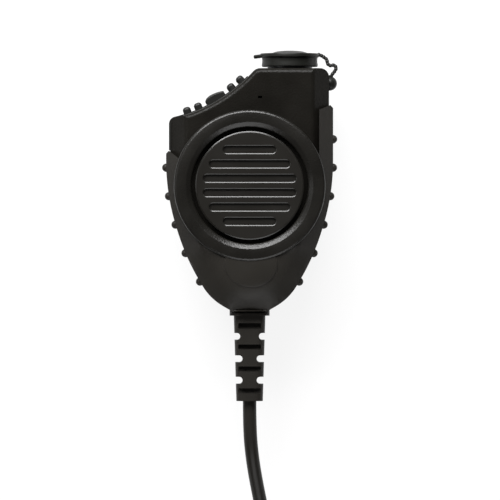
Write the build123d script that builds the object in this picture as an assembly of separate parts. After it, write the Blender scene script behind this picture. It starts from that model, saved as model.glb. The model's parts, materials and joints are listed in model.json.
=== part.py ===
from build123d import *
from math import asin, atan2, cos, degrees, hypot, pi, radians, sin, sqrt, tan
import os

# A remote speaker microphone lying on its belt clip, front upwards. Millimetres.
# +X right, +Y towards the socket end, +Z out of the front. Z = 0 is the clip's flat outer face.

# Case, seen from the front. v is a height along Y measured from the speaker's axis.
speaker_y = 17.1
top_v = 49.1
wall_x = 33.3
hip_x, hip_v, hip_r = wall_x, -3.7, 90.0
waist_x, waist_v, waist_r = wall_x - 8.3, -29.9, 92.0
chin_x, chin_v, chin_r = wall_x - 18.0, -46.2, 22.0
chin_slope = 30
tip_r = 10.0
toe_v = -51.0
slope_x, slope_v, slope_r = -46.7, top_v + 42.6, 65.2
ear_v = slope_v - sqrt(slope_r ** 2 - (wall_x + slope_x) ** 2)
corner_r = 3.6
crest_r = 4.2
ear_r = 2.6

# Case, front to back.
body_t = 29.4
back_z = 12.6
face_z = back_z + body_t
mid_z = (back_z + face_z) / 2 - 0.3
split_z = back_z + 5.4
wall = 2.0
edge_r = 2.2
bevel_in, bevel_up = 6.8, 7.5
bevel_crest_r = 3.0
back_edge_r = 4.0
overlap = 0.4
seal_w, seal_h = 0.8, 1.0

# Clearances.
shaft_gap = 0.08
key_gap = 0.3
soft_gap = 0.15
head_gap = 0.2
barrel_gap = 0.05

# Front plate and the ring round it.
plate_r = 22.55
plate_t = 2.4
plate_proud = 1.9
plate_travel = 1.2
plate_edge_r = 0.6
slot_h, slot_deep, slot_pitch = 3.3, 1.0, 6.0
slot_circle_r = plate_r - 2.55
slot_edge_r = 0.4
channel_w = 3.15
ring_in_r = plate_r + channel_w
ring_r = ring_in_r + 5.9
ring_top = face_z + 2.5
ring_chamfer, ring_lead = 1.0, 1.2
deck_r = ring_in_r + 2.2
deck_top, deck_t = face_z - 2.4, 2.0
post_r = 1.5
post_pcr = plate_r - 3.95
post_angles = (-90, 30, 150)
guide_boss_r, guide_boss_t = 2.6, 2.2
retainer_t = 0.9
spring_inset, spring_w = 0.65, 1.5

# Speaker.
speaker_r = post_pcr - guide_boss_r - 0.4
deck_hole_r = speaker_r - 1.6
gasket_t = 0.8
basket_deep = 5.4
basket_t = 0.75
magnet_r, magnet_gap = 8.0, 1.3
dome_r = 3.5
mesh_t = 0.4

# Grip boot.
grip_t = 1.7
side_key_v = ear_v - 7.9
grip_left_v, grip_left_x = side_key_v - 5.4, wall_x - 3.7
grip_right_v, grip_right_x = top_v - 15.4, wall_x - 4.2
grip_left_fall, grip_right_fall = 3.3, 2.0
grip_low_v = -10.0
grip_cut = 1.2
collar_x, collar_v = 8.4, -54.6
rib_r = 1.75
rib_rows, rib_pitch, rib_top_v = 6, 11.95, 19.45
rib_low_z, rib_high_z = back_z + 6.4, face_z - 9.0

# Slope key with its guard ribs, and the side key.
key_theta = 30.4
strip_t = 0.5
strip_half_z, strip_margin = 8.0, 1.6
strip_low_v = grip_left_v + 0.3
key_w, key_z, key_proud = 8.4, 12.0, 3.5
key_travel, key_corner = 0.8, 1.2
guard_w, guard_h = 3.4, 3.05
guard_groove_x, guard_groove_r = 0.5, 0.3
guard_first = key_w / 2 + 2.3 + guard_w / 2
guard_pitch = 5.1
side_key_h, side_key_z = 5.6, 10.6
side_key_proud = 0.3
side_travel, side_key_corner = 0.6, 0.7
recess_h, recess_deep = side_key_h + 2.0, 0.7
flange_t, flange_lip = 0.9, 1.2
switch_w, switch_h, switch_stem, switch_stem_r = 6.0, 3.5, 0.8, 1.6
key_board_t, key_board_length = 0.8, 20.0
slope_board_w, side_board_w = 11.0, 9.0
shelf_t = 1.0

# Socket, cap and tether.
socket_x, socket_z = wall_x - 16.4, mid_z - 1.5
socket_r = 9.5
socket_up = 3.4
barrel_r = 5.8
barrel_length = 34.0
jack_r = 3.575
jack_floor = 3.0
tag_r, tag_length, tag_pcr = 0.5, 2.6, 3.2
seal_t = 0.6
nut_t = 2.5
cap_wall = 2.0
cap_r = socket_r + key_gap + cap_wall
brim_r = cap_r + 0.8
cap_low, brim_low, brim_high, cap_top = 0.9, 4.9, 6.6, 7.4
crown_r = 7.3
cap_ceiling = socket_up + 0.4 + seal_t
tab_t, tab_w, tab_reach = 1.4, 8.0, 15.1
tether_t = 1.45
ball_r = 3.05
ball_x, ball_v = wall_x + 0.4, top_v - 6.1

# Strain relief and cord.
relief_end_v = -90.5
relief_w, relief_w_end = 13.5, 11.15
relief_t, relief_t_end = 11.0, 9.6
relief_corner = 3.4
neck_w, neck_t, neck_corner, neck_lip_t = 10.0, 8.0, 2.0, 2.4
cord_d = 5.7
cord_r = cord_d / 2
side_notches = ((-64.8, -61.9, 1.1), (-74.2, -71.3, 0.15), (-83.3, -80.3, 0.15))
face_notches = ((-60.2, -57.7), (-68.8, -66.7), (-78.1, -75.9), (-87.3, -85.1))
face_skin, face_notch_r = 0.55, 0.5
wire_r = 0.5
clamp_v, clamp_w, clamp_t = -40.0, 4.0, 2.0
clamp_reach = cord_r + 4.85
clamp_boss_r, clamp_screw_r = 2.2, 0.8

# Main board, under the speaker and level with the cord.
board_t = 1.6
board_top = mid_z - 0.8
board_z = board_top - board_t
board_w, board_low_v = 40.4, -29.0
board_high_v = top_v + socket_up - barrel_length - 2.5
low_screw_x = 17.6
board_boss_r, board_screw_r = 2.3, 1.0
boss_pitch = 5.55
plate_stem = 2.0
post_end_z = board_top + switch_h + plate_stem + key_gap + plate_travel
plug_in_v = board_low_v + 2.4
inner_end_v = board_low_v - 6.0

# Screws that hold the two shells together.
shell_screw_r, shell_head_r, shell_head_t = 1.25, 2.5, 1.6
shell_boss_r = 2.9
hex_r, hex_deep = 1.1, 1.0
screw_seat = back_z + 2.0
screw_bite = 8.0

# Microphone capsule behind its slot in the front.
mic_x, mic_v, mic_r, mic_t = 4.4, top_v - 12.1, 3.0, 2.7
mic_slot_w, mic_slot_h = 1.7, 1.0
mic_boot_t, mic_port_r = 0.8, 0.8

# Clip.
swivel_boss_r = 12.0
swivel_v = grip_low_v + swivel_boss_r + 1.0
stud_r, stud_head_r, stud_foot_r = 4.0, 6.4, 2.5
foot_boss_r, foot_z = 6.0, back_z + wall + 3.0
clip_w, clip_corner = 30.0, 3.0
base_low, base_high = 7.4, 10.1
head_seat = base_low + 1.3
boss_low_z = base_high + 0.4
jaw_t = 2.6
clip_hinge_v, clip_hinge_z = 20.0, 5.9
clip_tip_v = -40.0
thumb_length = 11.0
clip_edge_r = 0.5
panel_inset, panel_deep = 4.0, 0.4
thumb_grooves, groove_pitch, groove_w, groove_deep = 3, 2.4, 1.2, 0.7
clip_pin_r = 1.5
ear_w, ear_round_r = 2.8, 2.7
knuckle_r = 3.0
spring_half, spring_r = 4.5, 2.8

# Far end of the cord.
coil_r = 29.0
tie_w = 6.0
tail_length = 8.0
plug_relief_length = 18.0
plug_length, plug_w, plug_t = 27.0, 22.0, 13.0
pin_gap, pin_big_r, pin_small_r = 11.9, 1.75, 1.25
pin_length, tip_length, throat_length = 14.0, 1.8, 0.7


def solid_disc(r, low, high, x=0, y=0):
    return Pos(x, y, low) * Cylinder(r, high - low, align=(Align.CENTER, Align.CENTER, Align.MIN))


def tube(r, hole, low, high, x=0, y=0):
    return solid_disc(r, low, high, x, y) - solid_disc(hole, low, high, x, y)


def block(x0, x1, y0, y1, z0, z1):
    return Pos((x0 + x1) / 2, (y0 + y1) / 2, (z0 + z1) / 2) * Box(x1 - x0, y1 - y0, z1 - z0)


def facing_up(shape):
    face = shape.faces()[0]
    return face if face.normal_at().Z > 0 else -face


def lift(points):
    return [(x, v + speaker_y) for x, v in points]


def pushed(points, grow):
    # The corners of a chain of straight sides, each side moved out to its left by grow.
    normals = []
    for (x0, y0), (x1, y1) in zip(points, points[1:]):
        length = hypot(x1 - x0, y1 - y0)
        normals.append((-(y1 - y0) / length, (x1 - x0) / length))
    pairs = zip([normals[0]] + normals, normals + [normals[-1]])
    moved = []
    for (x, y), (n, m) in zip(points, pairs):
        share = grow / (1 + n[0] * m[0] + n[1] * m[1])
        moved.append((x + (n[0] + m[0]) * share, y + (n[1] + m[1]) * share))
    return moved


def side_chain(first, last, grow):
    # Down the right side, round the chin and up the left side.
    right = [(hip_x, hip_v), (waist_x, waist_v), (chin_x, chin_v)]
    tip = (0, chin_v - chin_x * tan(radians(chin_slope)))
    points = [first] + right + [tip] + [(-x, v) for x, v in right[::-1]] + [last]
    radii = [r + grow for r in (hip_r, waist_r, chin_r, tip_r, chin_r, waist_r, hip_r)]
    return FilletPolyline(*lift(pushed(points, grow)), radius=radii)


def pear_face(grow):
    # The sides alone, carried straight up past the top.
    high = top_v + 30
    sides = side_chain((wall_x, high), (-wall_x, high), grow)
    return facing_up(make_face([*sides.edges(), Line(sides @ 1, sides @ 0)]))


def slope_point(x, grow):
    return (x, slope_v - sqrt((slope_r - grow) ** 2 - (x - slope_x) ** 2))


def case_face(grow):
    side, top = wall_x + grow, top_v + grow
    crest = (slope_x + sqrt((slope_r - grow) ** 2 - (slope_v - top) ** 2), top)
    ear = slope_point(-side, grow)
    belly = slope_point((crest[0] + ear[0]) / 2, grow)
    sides = side_chain((wall_x, top), (-wall_x, ear[1]), grow)
    right, crest, ear, belly = lift([(side, top), crest, ear, belly])
    face = facing_up(make_face([*sides.edges(), ThreePointArc(ear, belly, crest), Line(crest, right)]))
    for spot, radius in ((right, corner_r), (crest, crest_r), (ear, ear_r)):
        corner = min(face.vertices(), key=lambda p: hypot(p.X - spot[0], p.Y - spot[1]))
        face = facing_up(fillet(corner, radius + grow))
    toe = speaker_y + toe_v - grow
    return facing_up(face - Pos(0, toe - 20) * Rectangle(100, 40))


def loop_at(solid, z):
    return [e for e in solid.edges() if e.bounding_box().size.Z < 1e-4 and abs((e @ 0).Z - z) < 1e-4]


def rounded_prism(face, low, high, r_low, r_high):
    solid = extrude(Pos(0, 0, low) * face, high - low)
    if r_high > 0.25:
        solid = fillet(loop_at(solid, high), r_high)
    if r_low > 0.25:
        solid = fillet(loop_at(solid, low), r_low)
    return solid


def side_form(grow):
    lean = atan2(bevel_in, bevel_up)
    low, high = back_z - grow, face_z + grow
    start = face_z - bevel_up + grow * tan(lean / 2)
    inset = (high - start) * tan(lean)
    lower = rounded_prism(pear_face(grow), low, start, back_edge_r + grow, 0)
    upper = loft([Pos(0, 0, start) * pear_face(grow), Pos(0, 0, high) * pear_face(grow - inset)], ruled=True)
    upper = fillet(loop_at(upper, high), bevel_crest_r + grow)
    return lower + upper


def body_form(grow):
    low, high = back_z - grow, face_z + grow
    prism = rounded_prism(case_face(grow), low, high, edge_r + grow, edge_r + grow)
    return prism & side_form(grow)


outer_form = body_form(0)
inner_form = body_form(-wall)
grip_form = body_form(grip_t)


def at(v):
    return speaker_y + v


def round_block(w, h, t, r, x, v, z):
    # A block w by t seen along Y, with rounded long edges, h long in Y, centred.
    turned = Pos(x, at(v), z) * Rot(90, 0, 0)
    return turned * extrude(RectangleRounded(w, t, r), h / 2, both=True)


def along_y(solid, x, v, z):
    # Stands a shape that was made upwards on its end in +Y.
    return Pos(x, at(v), z) * Rot(-90, 0, 0) * solid


def slope_frame(theta, z):
    # Local x runs up the slope, local z points out of it.
    a = radians(theta)
    spot = (slope_x + slope_r * sin(a), at(slope_v - slope_r * cos(a)), z)
    return Plane(origin=spot, x_dir=(cos(a), sin(a), 0), z_dir=(-sin(a), cos(a), 0)).location


def wall_frame(v, z):
    # Local x runs up the left wall, local z points out of it.
    return Plane(origin=(-wall_x, at(v), z), x_dir=(0, 1, 0), z_dir=(-1, 0, 0)).location


def side_x(v):
    # Half the grip's width at a height.
    hits = grip_side.intersect(Line((0, at(v)), (60, at(v))))
    return max(p.X for p in hits.vertices())


grip_side = pear_face(grip_t)


# ---- places shared by several pieces ----
post_spots = [(post_pcr * cos(radians(a)), at(post_pcr * sin(radians(a)))) for a in post_angles]
plate_top = face_z + plate_proud
plate_low = plate_top - plate_t
guide_low = deck_top - deck_t - guide_boss_t
gasket_low = deck_top - deck_t - gasket_t
basket_low = gasket_low - basket_deep
shell_screw_spots = [(wall_x - 5.3, at(top_v - 15.6)), (5.7 - wall_x, at(4.0)), (wall_x - 9.3, at(-15.0)),
                     (9.3 - wall_x, at(-15.0)), (wall_x - 19.8, at(-33.0)), (19.8 - wall_x, at(-33.0))]
high_screw_turn = post_angles[1] + degrees(2 * asin(boss_pitch / (2 * post_pcr)))
high_screw_x = post_pcr * cos(radians(high_screw_turn))
high_screw_v = post_pcr * sin(radians(high_screw_turn))
board_screw_spots = [(high_screw_x, at(high_screw_v)), (-high_screw_x, at(high_screw_v)),
                     (low_screw_x, at(board_low_v + 3.4)), (-low_screw_x, at(board_low_v + 3.4))]
clamp_posts = [(x, at(clamp_v)) for x in (-clamp_reach, clamp_reach)]
clamp_high = mid_z - cord_r
clamp_low = clamp_high - clamp_t
flange_low = -(wall + key_gap + flange_t)
slope_board_top = flange_low - key_travel - key_gap - switch_stem - switch_h
side_board_top = flange_low - side_travel - key_gap - switch_stem - switch_h
barrel_low = socket_up - barrel_length
swivel_y = at(swivel_v)
hinge_y = at(clip_hinge_v)


def case_slab(grow, low, high):
    return extrude(Pos(0, 0, low) * case_face(grow), high - low)


def case_ring(low, high, inset, width):
    # A band that follows the case's outline, for the seal and its groove.
    slabs = [case_slab(g, low, high) & extrude(Pos(0, 0, low) * pear_face(g), high - low)
             for g in (-inset, -inset - width)]
    return slabs[0] - slabs[1]


seal_band = case_ring(split_z - seal_h / 2, split_z + seal_h / 2, (wall - seal_w) / 2, seal_w)


def well():
    # The cup in the front shell that holds the ring, the plate and the speaker.
    cup = tube(deck_r, ring_in_r, deck_top, face_z, 0, speaker_y)
    cup += tube(deck_r, deck_hole_r, deck_top - deck_t, deck_top, 0, speaker_y)
    for x, y in post_spots:
        cup += solid_disc(guide_boss_r, guide_low, deck_top - deck_t, x, y)
    for x, y in post_spots:
        cup -= solid_disc(post_r + shaft_gap, guide_low, deck_top, x, y)
    return cup & outer_form


def front_bosses():
    # Columns that hang from the front wall for the board, the rear shell and the cord clamp.
    top = face_z - wall + overlap
    posts = []
    for x, y in shell_screw_spots:
        posts.append(tube(shell_boss_r, shell_screw_r, split_z + 0.1, top, x, y))
    for x, y in board_screw_spots:
        posts.append(tube(board_boss_r, board_screw_r, board_top, top, x, y))
    for x, y in clamp_posts:
        posts.append(tube(clamp_boss_r, clamp_screw_r, clamp_high, top, x, y))
    return [p & outer_form for p in posts]


def key_shelf(board_high, w):
    # A bracket behind a key's board, joined to the front wall.
    reach = face_z - wall + overlap - mid_z
    low = board_high - key_board_t - shelf_t
    return Pos(0, -(reach + 4) / 2, low + shelf_t / 2) * Box(w, reach - 4, shelf_t)


def through(w, length):
    # An opening right through a wall, as a block about the wall's outer face.
    return Box(w, length, 12)


def make_front_shell():
    slope, side = slope_frame(key_theta, mid_z), wall_frame(side_key_v, mid_z)
    shell = outer_form - inner_form
    shell -= block(-80, 80, -120, 120, 0, split_z)
    for post in front_bosses():
        shell += post
    shell += slope * key_shelf(slope_board_top, slope_board_w)
    shell += side * key_shelf(side_board_top, side_board_w)
    shell -= solid_disc(ring_in_r, deck_top - deck_t, face_z + 1, 0, speaker_y)
    shell += well()
    shell -= slope * through(key_w + 2 * key_gap, key_z + 2 * key_gap)
    shell -= side * through(side_key_h + 2 * key_gap, side_key_z + 2 * key_gap)
    shell -= side * Pos(0, 0, 1) * Box(recess_h, side_key_z + 2.4, 2 * recess_deep + 2)
    shell -= seal_band
    shell -= Pos(mic_x, at(mic_v), face_z) * Box(mic_slot_w, mic_slot_h, 2 * wall + 2)
    shell -= along_y(solid_disc(barrel_r + barrel_gap, -wall - 1, 1), socket_x, top_v, socket_z)
    shell -= round_block(neck_w, 12, neck_t, neck_corner, 0, toe_v, mid_z)
    return shell - make_tether_anchor()


def make_rear_shell():
    shell = outer_form - inner_form
    shell &= block(-80, 80, -120, 120, 0, split_z)
    for x, y in shell_screw_spots:
        shell += solid_disc(shell_boss_r + 1, back_z + 1, split_z, x, y) & outer_form
    shell += solid_disc(swivel_boss_r, boss_low_z, back_z + wall, 0, swivel_y)
    shell += solid_disc(foot_boss_r, back_z + wall - overlap, foot_z + 1, 0, swivel_y)
    for x, y in shell_screw_spots:
        shell -= solid_disc(shell_head_r + head_gap, back_z - 1, screw_seat, x, y)
        shell -= solid_disc(shell_screw_r, back_z, split_z + 1, x, y)
    shell -= seal_band
    return shell - solid_disc(stud_foot_r, boss_low_z - 1, foot_z, 0, swivel_y)


def make_shell_screws():
    group = []
    low = screw_seat - shell_head_t
    for x, y in shell_screw_spots:
        screw = solid_disc(shell_head_r, low, screw_seat, x, y)
        screw -= Pos(x, y, low) * extrude(RegularPolygon(hex_r, 6), hex_deep)
        screw += solid_disc(shell_screw_r, screw_seat, split_z + screw_bite, x, y)
        group.append(screw)
    return Compound(group)


def grip_mask():
    # What the grip covers: two leaning top edges with cut corners, joined by a step under the ring.
    far, side = wall_x + 27, wall_x + grip_t
    left = [(-far, grip_left_v - grip_cut), (-side, grip_left_v - grip_cut), (grip_cut - side, grip_left_v),
            (-grip_left_x, grip_left_v - grip_left_fall), (-grip_left_x, grip_low_v)]
    right = [(grip_right_x, grip_low_v), (grip_right_x, grip_right_v - grip_right_fall),
             (side - grip_cut, grip_right_v), (side, grip_right_v - grip_cut), (far, grip_right_v - grip_cut)]
    return facing_up(make_face(Polyline(*lift(left + right + [(far, -90), (-far, -90)]), close=True)))


def grip_ribs():
    ribs = []
    for row in range(rib_rows):
        v = rib_top_v - rib_pitch * row
        for side in (1,) if row == 0 else (1, -1):
            rib = solid_disc(rib_r, rib_low_z - rib_r, rib_high_z + rib_r, side * side_x(v), at(v))
            ribs.append(fillet(rib.edges().filter_by(GeomType.CIRCLE), 0.9 * rib_r))
    return ribs


def make_grip_boot():
    boot = grip_form
    for rib in grip_ribs():
        boot += rib
    lip_high = toe_v + 3
    boot += round_block(2 * collar_x, lip_high - collar_v, relief_t + 2 * grip_t, relief_corner + 1.1,
                        0, (lip_high + collar_v) / 2, mid_z)
    boot &= extrude(grip_mask(), face_z + 30)
    boot -= outer_form
    boot -= solid_disc(ring_r + soft_gap, mid_z, face_z + 10, 0, speaker_y)
    return boot - round_block(relief_w + 0.1, 12, relief_t + 0.1, relief_corner + 0.1, 0, toe_v - 6, mid_z)


def make_speaker_ring():
    ring = solid_disc(ring_r, face_z - bevel_up - 3, ring_top, 0, speaker_y)
    ring = chamfer(loop_at(ring, ring_top), ring_chamfer)
    ring -= solid_disc(ring_in_r, 0, ring_top + 1, 0, speaker_y)
    lead = Cone(ring_in_r, ring_in_r + ring_lead, ring_lead, align=(Align.CENTER, Align.CENTER, Align.MAX))
    return ring - Pos(0, speaker_y, ring_top) * lead - outer_form


def plate_slots():
    # As many level slots as fit, each as long as a circle a little inside the plate's edge lets it be.
    high = sqrt(slot_circle_r ** 2 - slot_h ** 2) - slot_h / 2
    rows = 2 * int(high / slot_pitch + 0.5)
    slots = []
    for row in range(rows):
        v = slot_pitch * (row - (rows - 1) / 2)
        half = sqrt(slot_circle_r ** 2 - (abs(v) + slot_h / 2) ** 2)
        slot = extrude(SlotOverall(2 * half, slot_h), slot_deep + 1)
        slots.append(Pos(0, at(v), plate_top - slot_deep) * slot)
    return slots


def make_press_plate():
    plate = solid_disc(plate_r, plate_low, plate_top, 0, speaker_y)
    plate = fillet(loop_at(plate, plate_top), plate_edge_r)
    for slot in plate_slots():
        plate -= slot
    rims = [e for e in loop_at(plate, plate_top) if e.length < 2 * pi * slot_circle_r]
    plate = fillet(rims, slot_edge_r)
    for x, y in post_spots:
        plate += solid_disc(post_r, post_end_z, plate_low, x, y)
    return plate


def make_plate_retainers():
    high = guide_low - key_gap
    return Compound([tube(guide_boss_r, post_r, high - retainer_t, high, x, y) for x, y in post_spots])


def make_plate_wave_spring():
    outer = plate_r - spring_inset
    return tube(outer, outer - spring_w, deck_top, plate_low - 0.1, 0, speaker_y)


def make_acoustic_mesh():
    return solid_disc(speaker_r - 0.2, deck_top, deck_top + mesh_t, 0, speaker_y)


def make_speaker_gasket():
    return tube(speaker_r, deck_hole_r, gasket_low, deck_top - deck_t, 0, speaker_y)


def turned(points):
    # A ring or cup about the speaker's axis, from its half section.
    face = make_face(Plane.XZ * Polyline(*points, close=True))
    return Pos(0, speaker_y, 0) * revolve(face, Axis.Z)


def make_speaker_frame():
    t = basket_t
    return turned([(speaker_r, gasket_low), (speaker_r, gasket_low - t), (speaker_r - 2.3, gasket_low - t),
                   (magnet_r + 0.9, basket_low), (0, basket_low), (0, basket_low + t),
                   (magnet_r + 0.4, basket_low + t), (speaker_r - 2.8, gasket_low)])


def make_speaker_cone():
    rim, high = speaker_r - 3.2, gasket_low - 0.1
    throat = rim - 4.4
    return turned([(rim, high), (rim - 0.5, high - 0.5), (throat, high - 3.1), (dome_r, high - 3.7),
                   (0, high - 2.8), (0, high - 2.4), (dome_r, high - 3.2), (throat - 0.1, high - 2.7),
                   (rim - 0.8, high)])


def make_speaker_magnet():
    return solid_disc(magnet_r, board_top + magnet_gap, basket_low, 0, speaker_y)


def make_main_board():
    board = block(-board_w / 2, board_w / 2, at(board_low_v), at(board_high_v), board_z, board_top)
    board = fillet(board.edges().filter_by(Axis.Z), 2.0)
    for x, y in board_screw_spots:
        board -= solid_disc(board_screw_r + 0.1, board_z - 1, board_top + 1, x, y)
    return board


def make_board_parts():
    # Each chip is its centre, its size and its height below the board; then two round capacitors.
    chips = [(-8, high_screw_v - 7.6, 9, 9, 1.4), (7, high_screw_v - 11.6, 6, 5, 1.2),
             (-9, -8, 5, 7, 1.6), (9, -9, 7, 4, 1.8), (0, -16, 4, 4, 1.0)]
    parts = [Pos(x, at(v), board_z - t / 2) * Box(w, h, t) for x, v, w, h, t in chips]
    for x in (-15, -11):
        parts.append(solid_disc(1.6, board_z - 4.5, board_z, x, at(-19)))
    return Compound(parts)


def make_board_screws():
    group = []
    for x, y in board_screw_spots:
        head = solid_disc(board_screw_r + 0.9, board_z - 1.3, board_z, x, y)
        group.append(head + solid_disc(board_screw_r, board_z, board_top + 5, x, y))
    return Compound(group)


def tact_switch(low, stem):
    body = Pos(0, 0, low + switch_h / 2) * Box(switch_w, switch_w, switch_h)
    return body + solid_disc(switch_stem_r, low + switch_h, low + switch_h + stem)


def key_board(high, w):
    return Pos(0, 0, high - key_board_t / 2) * Box(w, key_board_length, key_board_t)


def make_plate_switch():
    x, y = post_spots[0]
    return Pos(x, y, 0) * tact_switch(board_top, plate_stem)


def make_slope_switch():
    return slope_frame(key_theta, mid_z) * tact_switch(slope_board_top, switch_stem)


def make_side_switch():
    return wall_frame(side_key_v, mid_z) * tact_switch(side_board_top, switch_stem)


def make_slope_board():
    return slope_frame(key_theta, mid_z) * key_board(slope_board_top, slope_board_w)


def make_side_board():
    return wall_frame(side_key_v, mid_z) * key_board(side_board_top, side_board_w)


def key_solid(w, length, proud, r):
    # A key cap through the wall with a flange behind it that keeps it in.
    low = -(wall + key_gap)
    cap = Pos(0, 0, (proud + low) / 2) * Box(w, length, proud - low)
    cap = fillet(cap.edges().filter_by(Axis.Z), r)
    cap = fillet(cap.edges().group_by(Axis.Z)[-1], min(r, proud + 0.4) * 0.8)
    flange = Pos(0, 0, low - flange_t / 2) * Box(w + 2 * flange_lip, length + 2 * flange_lip, flange_t)
    return cap + flange


def make_slope_key():
    return slope_frame(key_theta, mid_z) * key_solid(key_w, key_z, key_proud, key_corner)


def make_side_key():
    return wall_frame(side_key_v, mid_z) * key_solid(side_key_h, side_key_z, side_key_proud, side_key_corner)


def strip_mask():
    # From above the slope's last guard, round the ear and down the left wall to the grip.
    span = guard_first + guard_pitch + guard_w / 2 + strip_margin
    a = radians(key_theta + degrees(span / slope_r))
    inner, outer = [(slope_x + r * sin(a), slope_v - r * cos(a)) for r in (slope_r + 10, slope_r - 10)]
    far = -wall_x - 20
    points = [inner, outer, (far, outer[1]), (far, strip_low_v), (3 - wall_x, strip_low_v)]
    return facing_up(make_face(Polyline(*lift(points), close=True)))


def make_key_strip():
    low, high = mid_z - strip_half_z, mid_z + strip_half_z
    slope, side = slope_frame(key_theta, mid_z), wall_frame(side_key_v, mid_z)
    strip = case_slab(strip_t, low, high) & extrude(Pos(0, 0, low) * strip_mask(), high - low)
    for offset in (-guard_first - guard_pitch, -guard_first, guard_first, guard_first + guard_pitch):
        guard = Pos(0, 0, guard_h / 2) * Box(guard_w, 2 * strip_half_z - 2, guard_h)
        guard = fillet(guard.edges().filter_by(Axis.Y), 0.7)
        for x in (-guard_groove_x, guard_groove_x):
            guard -= Pos(x, 0, guard_h) * Rot(90, 0, 0) * Cylinder(guard_groove_r, 2 * strip_half_z)
        strip += slope_frame(key_theta + degrees(offset / slope_r), mid_z) * guard
    strip -= outer_form
    strip -= side * Box(recess_h, side_key_z + 2.4, 2 * recess_deep + 2)
    return strip - slope * through(key_w + 2 * key_gap, key_z + 2 * key_gap)


def make_mic_boot():
    top, y = face_z - wall, at(mic_v)
    low = top - mic_boot_t - mic_t - 1.3
    boot = solid_disc(mic_r + 1.2, low, top, mic_x, y)
    boot -= solid_disc(mic_r, low, top - mic_boot_t, mic_x, y)
    return boot - solid_disc(mic_port_r, top - 2, top + 1, mic_x, y)


def make_mic_capsule():
    top, y = face_z - wall - mic_boot_t, at(mic_v)
    capsule = solid_disc(mic_r, top - mic_t, top, mic_x, y)
    return capsule - solid_disc(mic_port_r - 0.2, top - 0.8, top + 1, mic_x, y)


def make_socket_body():
    body = solid_disc(socket_r, seal_t, socket_up)
    body = chamfer(loop_at(body, socket_up), 0.5)
    body += solid_disc(barrel_r, barrel_low, seal_t)
    body -= solid_disc(jack_r, barrel_low + jack_floor, socket_up + 1)
    return along_y(body, socket_x, top_v, socket_z)


def make_socket_seal():
    return along_y(tube(socket_r - 0.2, barrel_r, 0, seal_t), socket_x, top_v, socket_z)


def make_socket_nut():
    nut = extrude(RegularPolygon(barrel_r + 2.2, 6), nut_t) - solid_disc(barrel_r, -1, nut_t + 1)
    return along_y(Pos(0, 0, -wall - nut_t) * nut, socket_x, top_v, socket_z)


def make_socket_tags():
    tags = []
    for turn in range(4):
        a = radians(45 + 90 * turn)
        tag = solid_disc(tag_r, barrel_low - tag_length, barrel_low, tag_pcr * cos(a), tag_pcr * sin(a))
        tags.append(along_y(tag, socket_x, top_v, socket_z))
    return Compound(tags)


def make_dust_cap():
    cap = solid_disc(cap_r, cap_low, brim_low) + solid_disc(brim_r, brim_low, brim_high)
    cap += solid_disc(crown_r, brim_high, cap_top)
    cap = fillet(loop_at(cap, cap_top), 0.5)
    cap -= solid_disc(socket_r + key_gap, cap_low - 1, cap_ceiling)
    root = cap_r - 1.1
    tab = Pos(-(tab_reach + root) / 2, 0, brim_low + 0.4) * Box(tab_reach - root, tab_w, tab_t)
    tab = fillet(tab.edges().filter_by(Axis.Z), 0.6)
    return along_y(cap + tab, socket_x, top_v, socket_z)


def make_cap_seal():
    disc = solid_disc(socket_r + key_gap - 0.1, cap_ceiling - seal_t, cap_ceiling)
    return along_y(disc, socket_x, top_v, socket_z)


def make_tether_anchor():
    return Pos(ball_x, at(ball_v), socket_z) * Sphere(ball_r)


def make_cap_tether():
    # From beside the brim, out and round in an S down to the ball.
    start_x, start_v = socket_x + brim_r + 0.6, top_v + (brim_low + brim_high) / 2
    points = [(start_x, start_v), (start_x + 1.5, start_v - 0.9), (ball_x - 1.0, ball_v + 10.1),
              (ball_x - 0.2, ball_v + 7.9), (ball_x + 2.0, ball_v + 7.4), (ball_x + 2.7, ball_v + 5.3),
              (ball_x + 1.4, ball_v + 2.3)]
    path = Pos(0, 0, socket_z) * FilletPolyline(*lift(points), radius=[1.0, 1.0, 0.9, 0.9, 0.9])
    strap = sweep(Plane(origin=path @ 0, z_dir=path % 0) * Circle(tether_t / 2), path=path)
    return strap - make_tether_anchor()


def make_strain_relief():
    # A tapered block on the cord, notched on four sides so that it bends, with a neck through the wall.
    upper = Plane(origin=(0, at(toe_v - 0.05), mid_z), x_dir=(1, 0, 0), z_dir=(0, -1, 0))
    lower = upper.offset(toe_v - 0.05 - relief_end_v)
    body = loft([upper * RectangleRounded(relief_w, relief_t, relief_corner),
                 lower * RectangleRounded(relief_w_end, relief_t_end, relief_corner)])
    for low, high, skin in side_notches:
        notch = extrude(RectangleRounded(2 * relief_w, high - low, 0.45 * (high - low)), relief_w, both=True)
        for side in (1, -1):
            body -= Pos(side * (relief_w + cord_r + skin), at((low + high) / 2), mid_z) * notch
    for low, high in face_notches:
        notch = extrude(RectangleRounded(relief_w_end - 1.6, high - low, face_notch_r), relief_w, both=True)
        notch -= Box(relief_w_end, high - low, 2 * (cord_r + face_skin))
        body -= Pos(0, at((low + high) / 2), mid_z) * notch
    body += round_block(neck_w, wall + 0.05, neck_t, neck_corner, 0, toe_v + (wall - 0.05) / 2, mid_z)
    lip_v = toe_v + wall + neck_lip_t / 2
    body += round_block(neck_w + 2, neck_lip_t, neck_t + 4, neck_corner + 1, 0, lip_v, mid_z)
    return body - along_y(solid_disc(cord_r, relief_end_v - 1, 0), 0, 0, mid_z)


def make_inner_cable():
    return along_y(solid_disc(cord_r, relief_end_v, inner_end_v), 0, 0, mid_z)


def make_lead_wires():
    wire = solid_disc(wire_r, inner_end_v, plug_in_v)
    return Compound([along_y(wire, x, 0, board_top + 1.8) for x in (-1.4, 0, 1.4)])


def make_board_connector():
    return block(-4, 4, at(plug_in_v), at(plug_in_v + 3.6), board_top, board_top + 4.0)


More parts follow.
